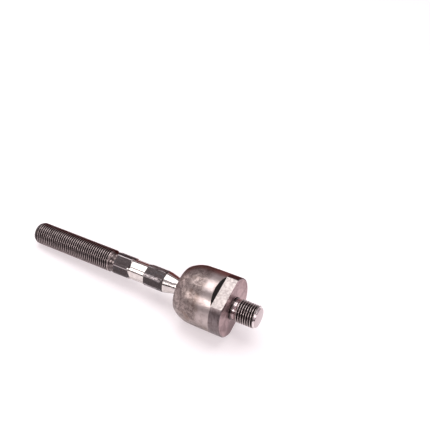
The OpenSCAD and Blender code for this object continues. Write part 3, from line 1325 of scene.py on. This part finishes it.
@dataclass
class SocketHousing:
    """The cup with its stud, seating face, wrench flats, swaged dome and mouth."""

    ball_x: float
    mouth_x: float
    tip_x: float
    barrel_r: float
    pitch: float = 1.5
    rings_per_pitch: int = 16
    stud_r: float = 7.0
    tip_chamfer_len: float = 1.8
    tip_chamfer_depth: float = 1.2
    register_len: float = 1.2
    neck_len: float = 3.0
    neck_depth: float = 0.55
    thread_gap: float = 0.3
    thread_stop: float = 1.3
    edge_round: float = 0.6
    edge_parts: int = 5
    face_inset: float = 0.5
    rim_inset: float = 1.08
    flat_depth: float = 3.3
    flat_len: float = 7.0
    flat_ramp: float = 1.8
    flat_turn: float = 14.5
    band_parts: int = 15
    ramp_parts: int = 9
    dome_r: float = 18.15
    dome_from: float = 91.5
    dome_rings: int = 36
    taper_x: float = -16.0
    bore_r: float = 14.2
    bore_rings: int = 20
    mouth_angle: float = 52.0
    mouth_flare: float = 1.2
    shoulder_x: float = -12.17
    pocket_r: float = 10.0
    floor_x: float = -5.0
    flat_parts: int = 24
    side_parts: int = 56
    opening_parts: int = 6
    opening_step: float = 0.4
    opening_half: float = 0.09
    skin: Hammering = Hammering(depth=0.09, size=7.0)
    skin_fade: float = 3.0
    bore_steel: PlainSteel = PlainSteel("bore_steel", (0.5, 0.47, 0.46), (0.36, 0.33, 0.32), 0.3)

    @property
    def flat_r(self) -> float:
        """Distance of the wrench flats from the axis."""
        return self.barrel_r - self.flat_depth

    @property
    def neck_x(self) -> float:
        """Where the stud's plain neck ends."""
        return self.register_len + self.neck_len

    def columns(self, ring: Stop) -> np.ndarray:
        """Spreads a ring's points.

        Args:
            ring: The ring.

        Returns:
            Their angles, with one on each edge of each wrench flat.
        """
        half = ring.half
        if half is None:
            reach = ring.r if ring.r > self.flat_r else self.barrel_r
            half = math.acos(min(1.0, (ring.flat or self.flat_r) / reach))
        turn = math.radians(self.flat_turn)
        return spread([turn, turn + math.pi], half, self.flat_parts, self.side_parts)

    def section(self, ring: Stop, angles: np.ndarray) -> np.ndarray:
        """Shapes a ring: cut back at the flats, and uneven where the surface is as forged.

        Args:
            ring: The ring.
            angles: Angles of its points.

        Returns:
            Their radii.
        """
        radii = np.full(len(angles), ring.r)
        if ring.zone == HousingZone.FORGED:
            fade = min(1.0, max(0.0, (-self.flat_len - ring.x) / self.skin_fade))
            skin = replace(self.skin, depth=self.skin.depth * fade)
            radii = np.array([skin.sunk(ring.x, a, r) for a, r in zip(angles, radii)])
        if ring.flat is not None:
            off = off_middle(angles, math.radians(self.flat_turn), math.pi)
            radii = np.minimum(radii, ring.flat / np.maximum(np.cos(off), TINY))
        return radii

    def zone_at(self, ring: Stop, after: Stop, column: int) -> int:
        """Chooses a face's material: the flats and their slopes lie in the flats' own columns.

        Args:
            ring: The face's ring.
            after: The next ring.
            column: The face's column.

        Returns:
            The material's index.
        """
        on_flat = column % (self.flat_parts + self.side_parts) < self.flat_parts
        if on_flat and after.flat is not None and ring.zone in (HousingZone.BAND, HousingZone.FORGED):
            return int(HousingZone.FLAT if ring.x > -self.flat_len + TINY else HousingZone.SHOULDER)
        return ring.zone

    def stud_rings(self) -> list[Stop]:
        """Draws the stud and the seating face.

        Returns:
            The rings from the stud's tip to the face's rim.
        """
        stud, face, flat = int(HousingZone.STUD), int(HousingZone.FACE), self.flat_r
        fine = self.pitch / self.rings_per_pitch
        neck_x, neck_r = self.neck_x, self.stud_r - self.neck_depth
        return rounded([
            Stop(self.tip_x, 0.0, stud),
            Stop(self.tip_x, self.stud_r - self.tip_chamfer_depth, stud, soft=0.35, step=fine),
            Stop(self.tip_x - self.tip_chamfer_len, self.stud_r, stud, step=fine),
            Stop(neck_x, self.stud_r, stud, soft=0.15, step=fine),
            Stop(neck_x - self.neck_depth, neck_r, stud, soft=0.5, step=0.3),
            Stop(self.register_len, neck_r, stud, soft=0.3),
            Stop(self.register_len, self.stud_r, stud, soft=0.25),
            Stop(0.0, self.stud_r, face, soft=0.25, step=1.5, flat=flat),
            Stop(0.0, flat - self.face_inset, face, flat=flat),
            Stop(0.0, self.barrel_r - self.rim_inset, face, flat=flat),
        ])

    def band_rings(self) -> list[Stop]:
        """Draws the face's rounded edge, the band with the wrench flats and the flats' sloped ends.

        Returns:
            The rings from the edge to where the barrel is round.
        """
        band, forged, flat = int(HousingZone.BAND), int(HousingZone.FORGED), self.flat_r
        rings: list[Stop] = []
        for a in np.linspace(0, math.pi / 2, self.edge_parts + 1):
            x = -self.edge_round * (1 - math.cos(a))
            rings.append(Stop(x, self.barrel_r - self.edge_round * (1 - math.sin(a)), band, flat=flat))
        for x in np.linspace(-self.edge_round, -self.flat_len, self.band_parts + 1)[1:-1]:
            rings.append(Stop(x, self.barrel_r, band, flat=flat))
        for share in np.linspace(0, 1, self.ramp_parts + 1):
            x = -self.flat_len - self.flat_ramp * share
            rings.append(Stop(x, self.barrel_r, forged, flat=flat + self.flat_depth * share))
        for k in range(1, self.opening_parts + 1):
            x = -self.flat_len - self.flat_ramp - self.opening_step * k
            rings.append(Stop(x, self.barrel_r, forged, half=self.opening_half * k))
        return rings

    def cup_rings(self, before: Stop) -> list[Stop]:
        """Draws the barrel, the dome, the mouth and the inside.

        Args:
            before: The last ring of the band.

        Returns:
            The rings from that one to the pocket's floor.
        """
        forged, bore = int(HousingZone.FORGED), int(HousingZone.BORE)
        lip_half = math.degrees(math.acos((self.ball_x - self.mouth_x) / self.dome_r))
        mouth = math.radians(self.mouth_angle)
        mouth_r, lip_x = self.bore_r * math.sin(mouth), self.ball_x - self.bore_r * math.cos(mouth)
        return rounded([
            before,
            Stop(self.taper_x, self.barrel_r, forged, soft=2.0, step=0.5),
            Stop(self.ball_x, self.dome_r, forged, step=0.5),
            *arc(self.ball_x, self.dome_r, self.dome_from, 180 - lip_half, self.dome_rings, forged)[:-1],
            Stop(self.mouth_x, self.dome_r * math.sin(math.radians(lip_half)), forged, soft=0.9),
            Stop(self.mouth_x, mouth_r + self.mouth_flare, bore, soft=0.5),
            Stop(self.mouth_x + self.mouth_flare, mouth_r, bore, soft=0.4),
            Stop(lip_x, mouth_r, bore),
            *arc(self.ball_x, self.bore_r, 180 - ARC_GAP - self.mouth_angle, 90, self.bore_rings, bore),
            Stop(self.shoulder_x, self.bore_r, bore),
            Stop(self.shoulder_x, self.pocket_r, bore),
            Stop(self.floor_x, self.pocket_r, bore, soft=0.4),
            Stop(self.floor_x, 0.0, bore),
        ])

    def build(self) -> None:
        """Builds the housing, cuts the stud's thread and puts it in the CAD housing's place."""
        cutter = ThreadCutter(
            crest_r=self.stud_r,
            pitch=self.pitch,
            begin=self.neck_x - self.thread_gap,
            end=self.tip_x - self.thread_stop,
            fade_begin=1.0,
            fade_end=0.4,
        )
        thread = RolledThread(
            "stud_thread",
            self.stud_r,
            self.stud_r - cutter.depth,
            root=(0.02, 0.017, 0.017),
            flank=(0.16, 0.125, 0.125),
            crest=(0.62, 0.53, 0.52),
            gloss=0.13,
        )
        finishes = (
            StudSkin(self.tip_x),
            FacedSteel(),
            TurnedSkin(),
            ForgedScale(),
            MilledSteel(),
            CutShoulder(),
            self.bore_steel,
        )
        band = self.band_rings()
        rings = [*self.stud_rings(), *band[:-1], *self.cup_rings(band[-1])]
        turning = Turning("socket_housing_forging", self.columns, self.section, self.zone_at)
        body = turning.build(rings, [finish.make() for finish in finishes])
        cutter.cut(body, thread.make())
        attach(body, "housing")
        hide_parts("socket_housing")
        report(body)


# ---------------------------------------------------------------- the inner pieces


@dataclass(frozen=True)
class InnerPieces:
    """Finishes of the seats, springs, rings and grease, which stay as the CAD makes them."""

    seats: MouldedPlastic = MouldedPlastic()
    grease: AmberGrease = AmberGrease()
    washer: PlainSteel = PlainSteel("washer_steel", (0.72, 0.72, 0.74), (0.58, 0.58, 0.6), 0.22)
    springs: PlainSteel = PlainSteel("spring_steel", (0.2, 0.22, 0.28), (0.1, 0.11, 0.16), 0.26)
    shim: PlainSteel = PlainSteel("shim_brass", (0.78, 0.66, 0.36), (0.62, 0.5, 0.25), 0.24)

    def build(self, nodes: dict[str, bpy.types.Object]) -> None:
        """Gives each CAD node its finish.

        Args:
            nodes: The CAD objects by name.
        """
        finishes = {
            self.seats: ("front_seat", "rear_seat"),
            self.grease: ("grease_film", "grease_reserve"),
            self.washer: ("thrust_washer",),
            self.springs: ("disc_spring_ball_side", "disc_spring_stud_side"),
            self.shim: ("shim",),
        }
        for finish, names in finishes.items():
            material = finish.make()
            for name in names:
                mesh = nodes[name].data
                mesh.materials.clear()
                mesh.materials.append(material)
                report(nodes[name])


# ---------------------------------------------------------------- the studio


@dataclass(frozen=True)
class Softbox:
    """A soft rectangular light that looks at a point."""

    name: str
    place: Place
    size: tuple[float, float]
    watts: float
    aim: Place = (-40.0, 0.0, 0.0)
    colour: Colour = (1.0, 0.96, 0.96)

    def make(self) -> None:
        """Builds the light."""
        light = bpy.data.lights.new(self.name, "AREA")
        light.shape = "RECTANGLE"
        light.size, light.size_y = (side * MM for side in self.size)
        light.energy = self.watts
        light.color = self.colour
        made = place_in_scene(self.name, light)
        made.location = Vector(self.place) * MM
        towards = (Vector(self.aim) - Vector(self.place)).normalized()
        made.rotation_mode = "QUATERNION"
        made.rotation_quaternion = towards.to_track_quat("-Z", "Y")


@dataclass(frozen=True)
class Flag:
    """A dark or tinted card that only shows in reflections."""

    name: str
    place: Place
    size: tuple[float, float]
    colour: Colour
    facing: Place

    def glow(self) -> bpy.types.Material:
        """Mixes the card's even glow.

        Returns:
            The material.
        """
        p = Paint(self.name)
        glow = p.node("ShaderNodeEmission")
        glow.inputs["Color"].default_value = (*self.colour, 1.0)
        out = p.node("ShaderNodeOutputMaterial")
        p.feed(out.inputs["Surface"], glow.outputs[0])
        return p.material

    def make(self) -> None:
        """Builds the card, which only glossy reflections see."""
        w, h = (side * MM / 2 for side in self.size)
        mesh = bpy.data.meshes.new(self.name)
        mesh.from_pydata([(-w, -h, 0), (w, -h, 0), (w, h, 0), (-w, h, 0)], [], [(0, 1, 2, 3)])
        turn = Vector(self.facing).to_track_quat("Z", "Y").to_matrix().to_4x4()
        mesh.transform(Matrix.Translation(Vector(self.place) * MM) @ turn)
        mesh.materials.append(self.glow())
        made = place_in_scene(self.name, mesh)
        made.visible_camera = made.visible_diffuse = made.visible_shadow = False
        made.visible_transmission = False


SOFTBOXES = (
    Softbox("top_light", (-30.0, 150.0, 650.0), (800.0, 520.0), 3.8, (-30.0, 150.0, 0.0), (1.0, 1.0, 1.0)),
    Softbox("front_light", (-260.0, -430.0, 310.0), (560.0, 130.0), 1.25, colour=(1.0, 0.98, 0.96)),
    Softbox("side_light", (520.0, -200.0, 330.0), (240.0, 240.0), 0.7),
    Softbox("left_light", (-650.0, 90.0, 310.0), (420.0, 260.0), 0.6),
)
DARK: Colour = (0.04, 0.028, 0.032)
FLAGS = (
    Flag("warm_flag", (-95.0, 34.0, 4.0), (206.0, 44.0), (0.17, 0.028, 0.024), (0.0, -1.0, 0.0)),
    Flag("table_flag", (-100.0, -305.0, -16.0), (1600.0, 430.0), DARK, (0.0, 0.0, 1.0)),
    Flag("thread_flag", (-242.0, -100.0, -14.0), (316.0, 200.0), (0.05, 0.03, 0.045), (0.0, 0.0, 1.0)),
    Flag("front_flag", (-100.0, -520.0, 50.0), (1600.0, 150.0), DARK, (0.0, 1.0, 0.0)),
)


@dataclass
class Studio:
    """Floor, light and camera."""

    ball_x: float
    end_x: float
    dome_r: float
    thread_r: float
    aim: Place = (-30.15, 34.7, 32.65)
    distance: float = 468.98
    azimuth: float = 30.97
    elevation: float = 42.345
    roll: float = -2.887
    lens: float = 65.83
    sensor: float = 36.0
    near: float = 10.0
    far: float = 20000.0
    floor_half: float = 3000.0
    horizon: Colour = (0.62, 0.54, 0.58)
    overhead: Colour = (0.42, 0.38, 0.4)
    overhead_from: float = 0.8

    def floor(self) -> None:
        """Lays the floor under the dome and the rod's far end, on which the object rests."""
        tilt = math.atan((self.dome_r - self.thread_r) / (self.ball_x - self.end_x))
        normal = Vector((math.sin(tilt), 0.0, math.cos(tilt)))
        point = Vector((self.ball_x, 0.0, 0.0)) - normal * self.dome_r
        across, ahead = Vector((normal.z, 0.0, -normal.x)), Vector((0.0, 1.0, 0.0))
        corners = ((-1, -1), (1, -1), (1, 1), (-1, 1))
        points = [(point + (across * i + ahead * j) * self.floor_half) * MM for i, j in corners]
        mesh = bpy.data.meshes.new("studio_floor")
        mesh.from_pydata([tuple(p) for p in points], [], [(0, 1, 2, 3)])
        mesh.materials.append(StudioFloor().make())
        place_in_scene("studio_floor", mesh)

    def sky(self) -> None:
        """Surrounds the scene with weak, faintly pink light, brighter at the horizon."""
        world = bpy.data.worlds.new("studio_sky")
        bpy.context.scene.world = world
        world.use_nodes = True
        w = Wiring(world.node_tree)
        w.tree.nodes.clear()
        height = w.split(w.node("ShaderNodeTexCoord").outputs["Generated"])[2]
        mix = w.node("ShaderNodeMix", data_type="RGBA")
        share = w.ease(height, 0.0, self.overhead_from)
        for number, value in zip(COLOUR_INPUTS, (share, (*self.horizon, 1.0), (*self.overhead, 1.0))):
            w.feed(mix.inputs[number], value)
        back = w.node("ShaderNodeBackground")
        w.feed(back.inputs["Color"], mix.outputs[COLOUR_OUTPUT])
        w.feed(w.node("ShaderNodeOutputWorld").inputs["Surface"], back.outputs[0])

    def camera(self) -> None:
        """Places the camera by its aim, distance, angles and lens."""
        a, e = math.radians(self.azimuth), math.radians(self.elevation)
        back = Vector((math.sin(a) * math.cos(e), -math.cos(a) * math.cos(e), math.sin(e)))
        level = (-back).cross(Vector((0.0, 0.0, 1.0))).normalized()
        upright = level.cross(-back)
        turn = math.radians(self.roll)
        right = level * math.cos(turn) + upright * math.sin(turn)
        up = back.cross(right)
        data = bpy.data.cameras.new("view_camera")
        data.lens, data.sensor_width = self.lens, self.sensor
        data.clip_start, data.clip_end = self.near * MM, self.far * MM
        made = place_in_scene("view_camera", data)
        frame = Matrix((right, up, back)).transposed().to_4x4()
        made.matrix_world = Matrix.Translation((Vector(self.aim) + back * self.distance) * MM) @ frame
        bpy.context.scene.camera = made

    def build(self) -> None:
        """Builds all of it."""
        self.camera()
        self.floor()
        self.sky()
        for item in (*SOFTBOXES, *FLAGS):
            item.make()
        bpy.context.scene.view_settings.view_transform = "Standard"


# ---------------------------------------------------------------- building


def main() -> None:
    """Builds the visual model around the CAD frame."""
    logging.basicConfig(level=logging.INFO, format="%(name)s: %(message)s")
    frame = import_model()
    ball_x = next(j for j in frame["joints"] if j["name"] == "rod_swing")["pos_m"][0] / MM
    rod_low, _ = (millimetres(c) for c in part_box("tie_rod"))
    shell_low, shell_high = (millimetres(c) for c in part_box("socket_housing"))
    housing = SocketHousing(ball_x=ball_x, mouth_x=shell_low[0], tip_x=shell_high[0], barrel_r=shell_high[1])
    rod = TieRod(ball_x=ball_x, end_x=rod_low[0])
    Studio(ball_x=ball_x, end_x=rod.end_x, dome_r=housing.dome_r, thread_r=rod.thread_r).build()
    housing.build()
    rod.build()
    InnerPieces().build(frame["nodes"])


if __name__ == "__main__":
    main()
